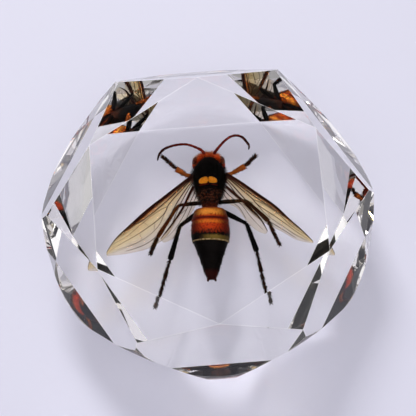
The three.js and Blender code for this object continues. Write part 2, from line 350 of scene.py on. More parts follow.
class BlockSettings(bpy.types.PropertyGroup):
    """Sizes and finish of the clear block."""

    thickness: length("Thickness", "From the base face to the table face", CAD_BOX[1][2] - CAD_BOX[0][2])
    girdle: length("Girdle radius", "Round side of the block", (CAD_BOX[1][1] - CAD_BOX[0][1]) / 2)
    table: length("Table radius", "Centre to corner of the top hexagon", 30 * MM)
    base: length("Base radius", "Centre to corner of the bottom hexagon", 29 * MM)
    turn: slope("Turn", "Direction of the top hexagon's first corner", 34.8)
    top_corner: slope("Top corner slope", "Facets on the top hexagon's corners", 60)
    top_edge: slope("Top edge slope", "Facets along the top hexagon's edges", 16.5)
    bottom_corner: slope("Bottom corner slope", "Facets on the bottom hexagon's corners", 65)
    bottom_edge: slope("Bottom edge slope", "Facets along the bottom hexagon's edges", 42)
    worn_edge: length("Edge wear", "Width of the rubbed facet edges", 0.2 * MM)
    refraction: bpy.props.FloatProperty(
        name="Refraction", description="Index of refraction of the resin", default=1.52
    )
    absorption: bpy.props.FloatProperty(
        name="Absorption", description="Light lost per metre of resin, times what its tint lacks",
        default=8.0,
    )


class HornetSettings(bpy.types.PropertyGroup):
    """Place and colours of the insect."""

    axis_x: length("Axis place", "How far the long axis stands from the block's middle", 0.4 * MM)
    axis_height: length("Axis height", "Height of the long axis above the base", 14 * MM)
    lean: slope("Lean", "How far the body is turned, its head to the left", 1.4)
    head: colour("Head", "Hard skin of the head", 212, 66, 14)
    scutellum: colour("Scutellum", "The two lobes on the back", 255, 154, 36)
    waist_band: colour("First band", "Front band of the abdomen", 250, 158, 54)
    red_band: colour("Second band", "Red part of the abdomen", 208, 64, 10)
    olive_band: colour("Third band", "Dull band before the black tail", 128, 104, 42)
    black: colour("Black skin", "Thorax, tail and legs", 9, 6, 5)
    leg_brown: colour("Leg brown", "Front legs and middle shins", 172, 84, 26)
    feeler: colour("Feelers", "Reddish brown of the feelers", 110, 24, 14)
    membrane: colour("Wing skin", "Thin skin between the veins", 168, 124, 72)
    vein: colour("Wing vein", "Veins and leading edges", 52, 20, 10)


class StageSettings(bpy.types.PropertyGroup):
    """Floor, light and camera."""

    tilt: slope("Camera tilt", "From straight above towards the front", 21.58)
    distance: length("Camera distance", "From the middle of the table face", 406.8 * MM)
    floor: colour("Floor", "Pale light table", 170, 169, 182)
    glow: colour("Glow", "Light from under the table's sheet", 151, 150, 161)
    sky: bpy.props.FloatProperty(name="Tent", description="Soft light from above", default=1.0)
    window: bpy.props.FloatProperty(
        name="Window", description="Power of the light at the back, in watts", default=17.5
    )


# ---- The clear block ----

ROUND_SIDES = 360
WORN_ANGLE = math.radians(8)  # an edge where the facets turn by less than this stays sharp
LEVEL_NORMAL = 1e-4  # a normal that rises less than this belongs to the round side
RESIN_TINT = (0.99, 0.97, 0.9, 1.0)


def facet_planes(block):
    """Rows of (point on the plane, outward normal). Each hexagon has a shallow facet along every edge
    and a steep one on every corner."""
    planes = []
    to_edge = math.cos(math.radians(30))

    def facet(azimuth, reach, z, tilt, side):
        out = (math.cos(azimuth), math.sin(azimuth))
        normal = (out[0] * math.sin(tilt), out[1] * math.sin(tilt), side * math.cos(tilt))
        planes.append(((reach * out[0], reach * out[1], z), normal))

    for number in range(6):
        corner = block.turn + math.radians(60 * number)
        between = corner + math.radians(30)
        facet(corner, block.table, block.thickness, block.top_corner, 1)
        facet(between, block.table * to_edge, block.thickness, block.top_edge, 1)
        facet(corner, block.base * to_edge, 0.0, block.bottom_edge, -1)
        facet(between, block.base, 0.0, block.bottom_corner, -1)
    return planes


def resin_material(block):
    shader = Shader("clear resin")
    surface = shader.principled(
        Base_Color=(1.0, 1.0, 1.0, 1.0), Roughness=0.0, IOR=block.refraction, Transmission_Weight=1.0
    )
    sockets = {"Color": RESIN_TINT, "Density": block.absorption}
    absorbed = shader.node("ShaderNodeVolumeAbsorption", None, sockets)
    return shader.finish(surface, absorbed)


def worn_edge_glow_material(block):
    """The facets' edges, where the polish is rubbed to a fine white line, with a painted glow on top. The
    weak emission stands for light that is caught inside the block and leaves it there, and paints the lines
    as bright highlights."""
    shader = Shader("worn edge")
    # White rubbed edge, plus a painted glow (Emission Strength 0.3) that stands in for highlights along the
    # edges.
    surface = shader.principled(
        Base_Color=(1.0, 1.0, 1.0, 1.0), Roughness=0.3, IOR=block.refraction, Transmission_Weight=0.12,
        Emission_Color=(1.0, 1.0, 1.0, 1.0), Emission_Strength=0.3,
    )
    return shader.finish(surface)


class PAPERWEIGHT_OT_block(bpy.types.Operator):
    """Make the clear faceted block: a round blank cut by exact planes, because its flat facets must be
    true for the light that runs through them, and a grid would leave their edges stepped"""

    bl_idname = "paperweight.block"
    bl_label = "Resin block"

    def execute(self, context):
        block = context.scene.paperweight_block
        made = bmesh.new()
        bmesh.ops.create_cone(
            made, cap_ends=True, segments=ROUND_SIDES, radius1=block.girdle, radius2=block.girdle,
            depth=block.thickness,
        )
        bmesh.ops.translate(made, vec=(0, 0, block.thickness / 2), verts=made.verts)
        for point, normal in facet_planes(block):
            everything = made.verts[:] + made.edges[:] + made.faces[:]
            cut = bmesh.ops.bisect_plane(
                made, geom=everything, dist=1e-8, plane_co=point, plane_no=normal, clear_outer=True
            )
            rim = [item for item in cut["geom_cut"] if isinstance(item, bmesh.types.BMEdge)]
            bmesh.ops.contextual_create(made, geom=rim)
        bmesh.ops.remove_doubles(made, verts=made.verts, dist=1e-7)
        bmesh.ops.recalc_face_normals(made, faces=made.faces)
        for face in made.faces:
            face.smooth = abs(face.normal.z) < LEVEL_NORMAL
        mesh = bpy.data.meshes.new("resin_block")
        made.to_mesh(mesh)
        made.free()
        piece = bpy.data.objects.new("resin_block", mesh)
        context.scene.collection.objects.link(piece)
        piece.data.materials.append(resin_material(block))
        piece.data.materials.append(worn_edge_glow_material(block))
        worn = piece.modifiers.new("worn edges", "BEVEL")
        worn.width = block.worn_edge
        worn.segments = 1
        # The bevel's faces take the white edge material with its painted glow.
        worn.material = 1
        worn.limit_method = "ANGLE"
        worn.angle_limit = WORN_ANGLE
        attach(piece, BODY)
        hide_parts("resin_upper_half", "resin_lower_half")
        return {"FINISHED"}


# ---- Body ----

# Rows of (y, half width or height).
THORAX_WIDTHS = [
    (0.1, 0.5), (0.4, 1.3), (1.3, 1.85), (2.2, 2.15), (3.2, 2.55), (4.8, 3.1), (6.4, 3.6),
    (8.2, 3.85), (9.6, 3.7), (10.8, 3.25), (12.0, 2.4), (13.0, 1.35), (13.45, 0.4),
]
THORAX_TOPS = [
    (0.1, 0.45), (0.4, 1.0), (1.3, 1.5), (2.2, 1.85), (4.8, 2.75), (6.4, 3.25), (8.2, 3.5),
    (10.5, 3.4), (12.0, 2.75), (13.0, 1.7), (13.45, 0.5),
]
ABDOMEN_WIDTHS = [
    (0.55, 0.9), (0.45, 2.6), (0.15, 3.35), (-0.7, 3.75), (-1.8, 4.05), (-3.0, 4.25), (-4.6, 4.42),
    (-6.2, 4.35), (-7.6, 4.05), (-9.4, 3.35), (-11.2, 2.75), (-13.0, 2.2), (-14.8, 1.65),
    (-16.0, 1.15), (-16.7, 0.5),
]
# Where each plate of the abdomen starts, and where the last one ends.
PLATES = [0.55, -2.5, -7.8, -10.8, -13.0, -14.9, -16.75]
PLATE_LIP = 0.16
SKIN_REFRACTION = 1.16  # against the resin round it
HEAD_HALF = 3.85


def thorax_point(y, a):
    """Half width w(y) and top line t(y) round the long axis, as (w cos a, t sin^0.9 a) above and
    (w cos a, -0.84 w sin^0.9 a) below, less three shallow furrows along the front of the back and two
    creases across it."""
    w = through(y, *zip(*THORAX_WIDTHS))
    x = w * np.cos(a)
    tall = np.where(np.sin(a) > 0, through(y, *zip(*THORAX_TOPS)), -0.84 * w)
    h = tall * np.abs(np.sin(a)) ** 0.9
    front = np.clip((y - 7.6) / 1.2, 0, 1) * (np.sin(a) > 0)
    furrows = np.exp(-((x / 0.12) ** 2)) + np.exp(-(((np.abs(x) - 1.7) / 0.16) ** 2))
    crease = np.exp(-(((y - 8.3) / 0.14) ** 2)) + np.exp(-(((y - 5.7) / 0.2) ** 2))
    dip = 0.09 * front * furrows + 0.16 * crease * (np.sin(a) > 0.2)
    return np.stack([x, y + 0 * a, h - dip], axis=-1)


def abdomen_point(y, a, lip=0.0):
    """Half width w(y) plus the lip of the plate, as (w cos a, h), with h flatter below than above."""
    w = through(-y, *zip(*[(-at, width) for at, width in ABDOMEN_WIDTHS])) + lip
    up = np.sin(a)
    return np.stack([w * np.cos(a), y + 0 * a, w * np.where(up > 0, 0.82, 0.66) * up], axis=-1)


def head_point(x, a):
    """Rings round a bar from temple to temple: half length and half height fall as
    (1 - |x / 3.85|^2.5)^0.45, and the bar bends back by 0.07 x x."""
    share = np.clip(1 - np.abs(x / HEAD_HALF) ** 2.5, 0, 1) ** 0.45
    y = 12.65 - 0.07 * x * x + 2.2 * share * np.cos(a)
    h = -0.9 + 2.5 * share * np.sin(a)
    return np.stack([x + 0 * a, y, h], axis=-1)


def skin(shader, **sockets):
    """Insect skin inside resin: the two refract light nearly alike, so the skin hardly reflects."""
    return shader.finish(shader.principled(IOR=SKIN_REFRACTION, **sockets))


def round_angles(columns):
    return np.linspace(0, 2 * np.pi, columns, endpoint=False)[None, :]


def cuticle(name, base, roughness, bump_mm, per_mm=2.4):
    """Hard insect skin: its colour mottled by noise, and fine pits."""
    shader = Shader(name)
    mottle = shader.noise(per_mm * 0.5)
    tint = shader.mix(mottle.step(0.3, 0.75) * 0.6, base, tuple(c * 0.45 for c in base[:3]) + (1.0,))
    pits = shader.pits(per_mm * 2).step(0.05, 0.5)
    return skin(
        shader, Base_Color=tint, Roughness=roughness + 0.2 * mottle,
        Normal=shader.bump(pits + 0.6 * mottle, 0.8, bump_mm),
    )


def thorax_material(hornet):
    """Black, with a brown speckled rear and a dark red waist."""
    shader = Shader("thorax skin")
    y = shader.axes()[1]
    grain = shader.noise(3.0, detail=5.0)
    rear = (y + 1.6 * (grain - 0.5)).step(5.4, 4.2)
    speckle = grain.step(0.48, 0.66)
    brown = shader.mix(speckle, rgb(20, 11, 8), rgb(128, 64, 38))
    brown = shader.mix(shader.pits(2.2).step(0.26, 0.12), brown, rgb(168, 116, 84))
    tint = shader.mix(rear * 0.95, hornet.black, brown)
    waist = y.step(2.2, 1.4)
    tint = shader.mix(waist * 0.6, tint, rgb(84, 34, 18))
    return skin(
        shader, Base_Color=tint, Roughness=0.42 + 0.3 * grain,
        Normal=shader.bump(shader.pits(5.0).step(0.0, 0.45) + grain, 0.9, 0.07),
    )


def abdomen_material(hornet):
    """Bands by distance along the body, whose edges noise frays."""
    shader = Shader("abdomen skin")
    x, y, _ = shader.axes()
    cloud = shader.noise(0.55, detail=4.0)
    grain = shader.noise(3.0, detail=5.0, stretch=(1.3, 0.8, 1.3))
    streaks = shader.noise(2.2, detail=4.0, stretch=(1.5, 0.8, 1.5))
    ragged = 2.6 * (streaks - 0.5) + 0.9 * (cloud - 0.5)
    side = (x - 0.4 + 0.9 * (cloud - 0.5)).absolute().step(1.3, 3.7)
    tint = shader.mix((y + 0.4 * ragged).step(0.3, -0.7), rgb(176, 78, 26), hornet.waist_band)
    tint = shader.mix((y + 0.5 * ragged).step(-1.2, -1.8), tint, hornet.red_band)
    seam = (y + 2.25 + 0.2 * (grain - 0.5)).absolute().step(0.42, 0.12)
    tint = shader.mix(seam * 0.9, tint, rgb(60, 14, 8))
    line = (y + 3.2 + 0.25 * ragged).absolute().step(0.7, 0.1)
    tint = shader.mix(line * 0.8, tint, rgb(244, 132, 34))
    tint = shader.mix(side * 0.9, tint, rgb(84, 18, 8))
    tint = shader.mix((y + 1.2 * ragged).step(-4.4, -6.2) * 0.9, tint, rgb(58, 14, 8))
    tint = shader.mix(streaks.step(0.5, 0.36) * y.step(-0.2, -1.8) * 0.55, tint, rgb(44, 10, 6))
    tint = shader.mix((y + 0.7 * ragged).step(-5.7, -6.2), tint, hornet.black)
    olive = (y + 0.45 * ragged).step(-6.2, -6.8) * (x - 0.4 + ragged).step(-3.0, 1.2)
    tint = shader.mix(olive * (1 - 0.5 * side), tint, hornet.olive_band)
    pale = (y + 7.62).absolute().step(0.22, 0.08)
    tint = shader.mix(pale * streaks.step(0.35, 0.6), tint, rgb(190, 160, 110))
    tint = shader.mix(y.step(-7.72, -7.82), tint, hornet.black)
    tint = shader.mix((y + 0.3 * ragged).step(-14.0, -15.2), tint, rgb(56, 14, 8))
    return skin(
        shader, Base_Color=shader.mix((1 - grain) * 0.3, tint, (0.01, 0.004, 0.002, 1)),
        Roughness=0.34 + 0.3 * grain, Normal=shader.bump(streaks + 0.5 * grain, 0.8, 0.08),
    )


class PAPERWEIGHT_OT_body(bpy.types.Operator):
    """Make the hornet's head, eyes, jaws, thorax, scutellum and banded abdomen"""

    bl_idname = "paperweight.body"
    bl_label = "Hornet body"

    def execute(self, context):
        hornet = context.scene.paperweight_hornet
        x = HEAD_HALF * np.sin(np.linspace(-np.pi / 2, np.pi / 2, 61))[:, None]
        head = Skin(head_point(x, round_angles(64)))
        between_eyes = [(-0.42, 13.5, 1.38), (0.42, 13.5, 1.38), (0, 13.85, 1.18)]
        ocelli = Skin(spheroids(between_eyes, (0.2, 0.2, 0.16)))
        make_piece("hornet_head", [head, ocelli], hornet,
                   cuticle("head skin", tuple(hornet.head), 0.34, 0.05), hornet.lean)
        eyes = Skin(spheroids([(-2.95, 12.3, -0.8), (2.95, 12.3, -0.8)], (0.9, 1.4, 1.9), 33, 40))
        make_piece("hornet_eyes", [eyes], hornet,
                   cuticle("eye lens", rgb(104, 36, 16), 0.22, 0.02, per_mm=9.0), hornet.lean)
        jaw = [(-0.05, 0.3), (0.0, 0.62), (0.35, 0.66), (0.7, 0.5), (0.95, 0.22), (1.0, 0.1)]
        hinges = [(-1.9, 13.5, -2.2), (1.9, 13.5, -2.2)]
        tips = [(-0.15, 14.9, -2.9), (0.15, 14.9, -2.9)]
        jaws = Skin(spindles(hinges, tips, jaw, 16))
        make_piece("hornet_jaws", [jaws], hornet, cuticle("jaw skin", rgb(70, 24, 12), 0.3, 0.03),
                   hornet.lean)
        y = np.linspace(0.1, 13.45, 164)[:, None]
        thorax = Skin(thorax_point(y, round_angles(112)))
        shoulders = Skin(spheroids([(-3.8, 8.0, 1.2), (3.8, 8.0, 1.2)], (0.62, 0.95, 0.5)))
        make_piece("hornet_thorax", [thorax, shoulders], hornet, thorax_material(hornet), hornet.lean)
        self.scutellum(hornet)
        abdomen = make_piece("hornet_abdomen", [self.abdomen(), self.tail()], hornet,
                             abdomen_material(hornet), hornet.lean)
        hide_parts("hornet")
        return {"FINISHED"}

    @staticmethod
    def scutellum(hornet):
        """Two domed lobes side by side, with a thin raised rim behind them. Each is an ellipsoid whose
        outline is squared to |u|^3 + |v|^3 = 1, and whose outer end sinks and is drawn back in front."""
        centres = np.array([(-1.28, 7.0, 2.85), (0.74, 7.05, 2.85)])[:, None, None, :]
        halves = np.array([1.13, 0.95, 1.0])
        ball = (spheroids(centres[:, 0, 0], halves, 33, 40) - centres) / halves
        u, v = np.abs(ball[..., :1]), np.abs(ball[..., 1:2])
        ball[..., :2] *= np.hypot(u, v) / np.maximum((u**3 + v**3) ** (1 / 3), 1e-9)
        lobes = centres + halves * ball
        away = np.abs(lobes[..., 0] + 0.27)
        lobes[..., 1] -= 0.1 * away**1.6 * (1 + ball[..., 1])
        lobes[..., 2] -= 0.08 * away**1.6
        make_piece("hornet_scutellum", [Skin(lobes)], hornet,
                   cuticle("scutellum skin", tuple(hornet.scutellum), 0.36, 0.03, per_mm=3.0), hornet.lean)
        a = np.linspace(-1, 1, 33)
        arc = np.stack([-0.25 + 2.2 * a, 6.05 - 0.35 * a * a, 2.9 - 0.5 * a * a], axis=-1)[None]
        rim = tubes(arc, 0.2 * (1 - a**6)[None] + 0.02, 12)
        make_piece("hornet_scutellum_rim", [Skin(rim)], hornet,
                   cuticle("rim skin", rgb(104, 26, 14), 0.4, 0.03), hornet.lean)

    @staticmethod
    def abdomen():
        """Rings down the body. Each plate flares by a lip at its rear, and the next starts inside it."""
        rows, lips = [], []
        for start, end in zip(PLATES, PLATES[1:]):
            share = np.linspace(0, 1, 22)
            rows.append(start + (end - start) * share)
            lips.append(PLATE_LIP * (share**3 - 0.5 * np.exp(-12 * share)))
        y, lip = np.concatenate(rows), np.concatenate(lips)
        return Skin(abdomen_point(y[:, None], round_angles(96), lip[:, None]))

    @staticmethod
    def tail():
        shape = [(-0.1, 0.1), (0, 0.34), (0.6, 0.3), (0.9, 0.24), (1, 0.1)]
        starts = [(-0.6, -15.7, 0.1), (0.6, -15.7, 0.1)]
        ends = [(-0.92, -17.15, 0), (0.92, -17.15, 0)]
        return Skin(spindles(starts, ends, shape, 12))


# ---- Feelers ----

FEELERS = [
    [(-0.9, 13.9, 0.9), (-1.3, 14.5, 1.2), (-3.2, 15.6, 1.5), (-5.1, 16.2, 1.5), (-6.9, 16.2, 1.3),
     (-8.8, 15.8, 1.1), (-10.4, 15.1, 0.8), (-11.4, 13.9, 0.5), (-11.8, 12.4, 0.3)],
    [(1.3, 13.9, 0.9), (1.7, 14.5, 1.2), (2.8, 15.9, 1.6), (4, 17.2, 1.8), (5.2, 18.1, 1.7),
     (6.6, 18.5, 1.4), (8, 18.1, 1), (8.9, 17.1, 0.7), (9.5, 16.2, 0.4), (9.4, 15.2, 0.2)],
]
FEELER_JOINTS = 12


class PAPERWEIGHT_OT_feelers(bpy.types.Operator):
    """Make the two jointed feelers: a round profile carried along a smooth path, narrowed at each joint"""

    bl_idname = "paperweight.feelers"
    bl_label = "Hornet feelers"

    def execute(self, context):
        hornet = context.scene.paperweight_hornet
        skins = []
        share = np.linspace(0, 1, 240)
        body = through(share, [0, 0.04, 0.2, 0.6, 0.9, 1.0], [0.34, 0.38, 0.33, 0.32, 0.28, 0.14])
        joints = 1 - 0.22 * np.abs(np.cos(np.pi * FEELER_JOINTS * share)) ** 14
        for points in FEELERS:
            path = path_through(np.array(points) - [hornet.axis_x / MM, 0, 0], len(share))
            skins.append(Skin(tubes(path[None], (body * joints)[None], 14), along=share[None, :, None]))
        shader = Shader("feeler skin")
        along = shader.attribute("along")
        grain = shader.noise(4.0)
        tint = shader.mix(along.step(0.25, 0.95), tuple(hornet.feeler), rgb(40, 16, 12))
        finish = skin(shader, Base_Color=tint, Roughness=0.45 + 0.2 * grain,
                      Normal=shader.bump(grain, 0.5, 0.02))
        make_piece("hornet_feelers", skins, hornet, finish)
        return {"FINISHED"}


# ---- Legs ----

LEGS = [
    # hip, knee, ankle, end of the foot, girth, brownness of thigh, shin and foot
    ((-1.5, 8.6, -2.6), (-5.1, 9.3, -1.7), (-7.4, 10.7, -1.2), (-10.7, 14.0, -1.6), 1.2, 0.9, 1.0, 0.15),
    ((2.3, 8.6, -2.6), (5.6, 9.8, -1.7), (8.5, 11.4, -1.2), (11.0, 14.2, -1.6), 1.2, 0.9, 1.0, 0.15),
    ((-0.8, 2.4, -1.5), (-6.9, 1.6, -1.0), (-11.6, -6.0, -1.8), (-13.2, -9.9, -2.2), 0.88, 0.0, 0.3, 0.1),
    ((1.4, 2.4, -1.5), (8.8, 2.8, -1.0), (13.8, -2.0, -1.8), (16.3, -7.7, -2.2), 0.92, 0.0, 0.12, 0.1),
    ((-0.4, 1.3, -1.6), (-6.5, -3.3, -1.6), (-8.7, -11.4, -2.2), (-11.3, -21.0, -2.8), 1.12, 0.0, 0.0, 0.05),
    ((1.2, 1.3, -1.6), (8.8, -2.7, -1.6), (11.1, -9.4, -2.0), (13.3, -20.0, -2.8), 1.12, 0.0, 0.0, 0.05),
]
# Rows of (share of the length, radius).
THIGH = [
    (-0.04, 0.1), (0, 0.36), (0.1, 0.46), (0.35, 0.6), (0.6, 0.56), (0.85, 0.4), (0.97, 0.42), (1.03, 0.1),
]
SHIN = [
    (-0.03, 0.1), (0, 0.34), (0.06, 0.4), (0.35, 0.44), (0.7, 0.54), (0.93, 0.62), (0.99, 0.5), (1.02, 0.1),
]
FOOT = [(-0.03, 0.05), (0, 0.19), (0.4, 0.28), (0.85, 0.46), (0.98, 0.47), (1.05, 0.12)]
FOOT_STARTS = [0, 0.46, 0.62, 0.74, 0.84]
FOOT_ENDS = [0.46, 0.62, 0.74, 0.84, 1.0]


class PAPERWEIGHT_OT_legs(bpy.types.Operator):
    """Make six jointed legs with their spurs, bristles and claws: tapered profiles on straight or
    slightly bowed lines"""

    bl_idname = "paperweight.legs"
    bl_label = "Hornet legs"

    def execute(self, context):
        hornet = context.scene.paperweight_hornet
        random = np.random.default_rng(SEED)
        skins, bristles = [], []
        shift = np.array([hornet.axis_x / MM, 0, 0])
        for hip, knee, ankle, toe, girth, thigh_brown, shin_brown, foot_brown in LEGS:
            hip, knee, ankle, toe = (np.array(p) - shift for p in (hip, knee, ankle, toe))
            wide = [(at, girth * radius) for at, radius in THIGH]
            skins.append(Skin(spindles(hip, knee, wide, 18, bow=0.25), brown=thigh_brown))
            wide = [(at, girth * radius) for at, radius in SHIN]
            skins.append(Skin(spindles(knee, ankle, wide, 18, bow=0.15), brown=shin_brown))
            starts = ankle + np.array(FOOT_STARTS)[:, None] * (toe - ankle)
            ends = ankle + np.array(FOOT_ENDS)[:, None] * (toe - ankle)
            skins.append(Skin(spindles(starts, ends, FOOT, 12), brown=foot_brown))
            skins.append(self.claws(ankle, toe, foot_brown))
            bristles.append(self.bristles(random, knee, ankle, 0.42 * girth, 120, 0.75))
            bristles.append(self.bristles(random, ankle, toe, 0.32, 190, 0.7))
            bristles.append(self.bristles(random, hip, knee, 0.5 * girth, 60, 0.45))
        shader = Shader("leg skin")
        grain = shader.noise(2.2, detail=4.0)
        tint = shader.mix(shader.attribute("brown") * (0.7 + 0.5 * grain), hornet.black, hornet.leg_brown)
        finish = skin(
            shader, Base_Color=tint, Roughness=0.36 + 0.3 * grain,
            Normal=shader.bump(shader.pits(6.0).step(0.0, 0.5) + grain, 0.8, 0.04),
        )
        make_piece("hornet_legs", skins, hornet, finish)
        make_piece("hornet_bristles", [Skin(np.concatenate(bristles))], hornet,
                   cuticle("bristle", rgb(24, 12, 8), 0.5, 0.01))
        return {"FINISHED"}

    @staticmethod
    def claws(ankle, toe, brown):
        """Two hooked claws, spread to either side of the foot, and two spurs on the shin's end."""
        out = unit(toe - ankle)
        side = unit(np.cross(out, [0, 0, 1.0]))
        claw = [(-0.05, 0.08), (0, 0.16), (0.4, 0.13), (0.8, 0.07), (1.0, 0.02)]
        tips = toe + 0.85 * (0.85 * out + np.array([[0.5], [-0.5]]) * side)
        spur_tips = ankle + 1.15 * (0.85 * out + np.array([[0.42], [-0.42]]) * side)
        starts = np.concatenate([[toe, toe], [ankle, ankle]])
        return Skin(spindles(starts, np.concatenate([tips, spur_tips]), claw, 8, bow=0.12), brown=brown)

    @staticmethod
    def bristles(random, start, end, radius, count, reach):
        """Stiff hairs that stand out of a limb and lean towards its end, as rings."""
        share = random.uniform(0.03, 0.99, (count, 1))
        along = unit(end - start)
        side = unit(np.cross(along, [0, 0, 1.0]))
        top = np.cross(side, along)
        a = random.uniform(0, 2 * np.pi, (count, 1))
        out = np.cos(a) * side + np.sin(a) * top
        root = start + share * (end - start) + 0.6 * radius * out
        tip = root + reach * random.uniform(0.6, 1.1, (count, 1)) * (0.8 * out + 0.75 * along)
        return spindles(root, tip, [(-0.1, 0.02), (0, 0.085), (0.5, 0.06), (1.0, 0.012)], 3)


# ---- Wings ----

FORE_VEINS = [
    # rows of (share of the span, share of the chord), then radius
    ([(0.0, 0.06), (0.3, 0.07), (0.66, 0.05)], 0.13),
    ([(0.0, 0.16), (0.2, 0.2), (0.45, 0.18), (0.62, 0.13), (0.66, 0.05)], 0.12),
    ([(0.0, 0.3), (0.15, 0.34), (0.33, 0.38), (0.36, 0.44), (0.6, 0.42), (0.88, 0.4)], 0.09),
    ([(0.33, 0.38), (0.42, 0.26), (0.62, 0.22), (0.78, 0.26), (0.93, 0.08)], 0.07),
    ([(0.36, 0.44), (0.5, 0.6), (0.7, 0.66), (0.9, 0.62)], 0.06),
    ([(0.0, 0.5), (0.18, 0.6), (0.4, 0.72), (0.62, 0.82), (0.84, 0.86)], 0.09),
    ([(0.0, 0.72), (0.2, 0.84), (0.42, 0.94)], 0.08),
    ([(0.5, 0.42), (0.54, 0.6)], 0.05),
    ([(0.66, 0.42), (0.67, 0.66)], 0.05),
    ([(0.58, 0.22), (0.56, 0.42)], 0.05),
    ([(0.72, 0.24), (0.74, 0.42)], 0.05),
    ([(0.74, 0.42), (0.97, 0.36)], 0.045),
    ([(0.67, 0.66), (0.95, 0.72)], 0.045),
]
HIND_VEINS = [
    ([(0.0, 0.1), (0.4, 0.1), (0.9, 0.06)], 0.1),
    ([(0.0, 0.35), (0.35, 0.42), (0.6, 0.5), (0.92, 0.5)], 0.07),
    ([(0.0, 0.6), (0.3, 0.75), (0.6, 0.9)], 0.06),
    ([(0.35, 0.42), (0.5, 0.1)], 0.05),
]
LEADING_EDGE = ([(0.0, 0.0), (0.5, 0.0), (1.0, 0.0)], 0.2)
# For each wing: leading edge, trailing edge, height at the body's middle and at the reach, and veins.
WINGS = {
    "fore_left": (
        [(-3.4, 8.6), (-8.9, 4.2), (-14.2, -0.1), (-17.6, -3.3), (-21.6, -7.5), (-23.2, -10.2)],
        [(-3.4, 6.2), (-5.9, 1.2), (-10.2, -7.2), (-12.7, -8.9), (-18.4, -10.5), (-23.2, -11.0)],
        1.9, 0.0, FORE_VEINS,
    ),
    "fore_right": (
        [(3.9, 9.0), (6.3, 7.6), (11.1, 4.2), (15.7, 0.8), (18.8, -2.3), (21.6, -4.9), (24.0, -7.5)],
        [(3.9, 6.6), (7.4, 1.7), (12.4, -2.8), (17.2, -5.4), (20.2, -7.1), (22.0, -7.6), (24.0, -7.9)],
        1.9, 0.0, FORE_VEINS,
    ),
    "hind_left": (
        [(-3.4, 6.0), (-6.4, -0.4), (-10.9, -7.1)],
        [(-1.6, 3.4), (-3.2, 0.4), (-5.5, -3.7), (-8.2, -7.1), (-10.2, -8.0)],
        1.2, 0.2, HIND_VEINS,
    ),
    "hind_right": (
        [(4.0, 6.0), (9.7, 0.6), (12.4, -2.7), (13.6, -5.2)],
        [(2.4, 4.2), (3.2, 2.5), (6.7, 0.4), (9.0, -3.0), (11.9, -5.4), (13.2, -5.8)],
        1.2, 0.2, HIND_VEINS,
    ),
}
WING_REACH = 24.0  # from the body's middle
MEMBRANE = 0.04  # thickness of the film


def wing_point(wing, span, chord):
    """Straight across from the leading edge's path to the trailing edge's at the same share of the
    span. It falls from the root to the tip and is pleated in four and a half sine waves across the
    chord, which fade towards the tip."""
    lead, trail, root, tip, _ = wing
    lead, trail = (path_through(np.array(edge), 400) for edge in (lead, trail))
    at = np.linspace(0, 1, 400)
    edges = [np.stack([np.interp(span, at, edge[:, n]) for n in (0, 1)], axis=-1) for edge in (lead, trail)]
    flat = edges[0] + chord[..., None] * (edges[1] - edges[0])
    height = root + (tip - root) * np.clip(np.abs(flat[..., 0]) / WING_REACH, 0, 1)
    pleats = (0.16 - 0.1 * span) * np.sin(2 * np.pi * 4.5 * chord) * np.sin(np.pi * np.clip(chord, 0, 1))
    return np.concatenate([flat, (height + pleats)[..., None]], axis=-1)


def membrane_material(hornet):
    """A thin film that light passes through and leaves amber, denser along the leading edge and at the
    root."""
    shader = Shader("wing skin")
    chord, span, fore = (shader.attribute(name) for name in ("chord", "span", "fore"))
    cloud = shader.noise(0.5, detail=3.0)
    edge = chord + 0.08 * (cloud - 0.5)
    amber = edge.step(0.45, 0.08) * span.step(1.0, 0.5)
    brown = edge.step(0.17, 0.05) * span.step(0.97, 0.6)
    root = span.step(0.4, 0.04)
    rim = chord.step(0.975, 1.0) + span.step(0.985, 1.0)
    tint = shader.mix(amber, hornet.membrane, rgb(196, 112, 34))
    tint = shader.mix(root * 0.8, tint, rgb(112, 40, 14))
    tint = shader.mix(brown, tint, rgb(66, 24, 12))
    dense = 0.03 + 0.05 * cloud.step(0.45, 0.75) + 0.2 * amber + 0.3 * root * (1 - chord)
    dense = dense * (0.35 + 0.65 * fore) + 0.9 * brown * fore + 0.2 * rim
    skinned = shader.principled(
        Base_Color=tint, Roughness=0.35 + 0.2 * cloud, IOR=SKIN_REFRACTION,
        Normal=shader.bump(shader.noise(2.0), 0.5, 0.03),
    )
    clear = shader.mix(edge.step(0.95, 0.25) * fore, rgb(250, 245, 236), rgb(250, 238, 206))
    film = shader.node("ShaderNodeBsdfTransparent", None, {"Color": clear})
    return shader.finish(shader.node("ShaderNodeMixShader", None, {0: dense, 1: film, 2: skinned}))


class PAPERWEIGHT_OT_wings(bpy.types.Operator):
    """Make four pleated wings of thin clear skin with raised veins"""

    bl_idname = "paperweight.wings"
    bl_label = "Hornet wings"

    def execute(self, context):
        hornet = context.scene.paperweight_hornet
        shift = np.array([hornet.axis_x / MM, 0, 0])
        skins, veins = [], []
        for name, wing in WINGS.items():
            span = np.linspace(0, 1, 120)[:, None]
            there = np.linspace(0, 1, 48)[None, :]
            chord = np.concatenate([there, there[:, ::-1]], axis=1)
            side = np.concatenate([np.ones_like(there), -np.ones_like(there)], axis=1)
            rings = wing_point(wing, span + 0 * chord, chord + 0 * span) - shift
            rings[..., 2] += MEMBRANE / 2 * side
            fore = float(name.startswith("fore"))
            skins.append(Skin(rings, span=span[None], chord=chord[None], fore=fore))
            *_, wing_veins = wing
            for knots, radius in [*wing_veins, LEADING_EDGE]:
                track = path_through(np.array(knots), 60)
                path = wing_point(wing, track[:, 0], track[:, 1]) - shift
                taper = radius * (1.5 - 1.05 * track[:, 0])
                veins.append(Skin(tubes(path[None], taper[None], 8)))
        make_piece("hornet_wings", skins, hornet, membrane_material(hornet))
        make_piece("hornet_wing_veins", veins, hornet,
                   cuticle("vein skin", tuple(hornet.vein), 0.4, 0.02))
        return {"FINISHED"}


# ---- Hair ----


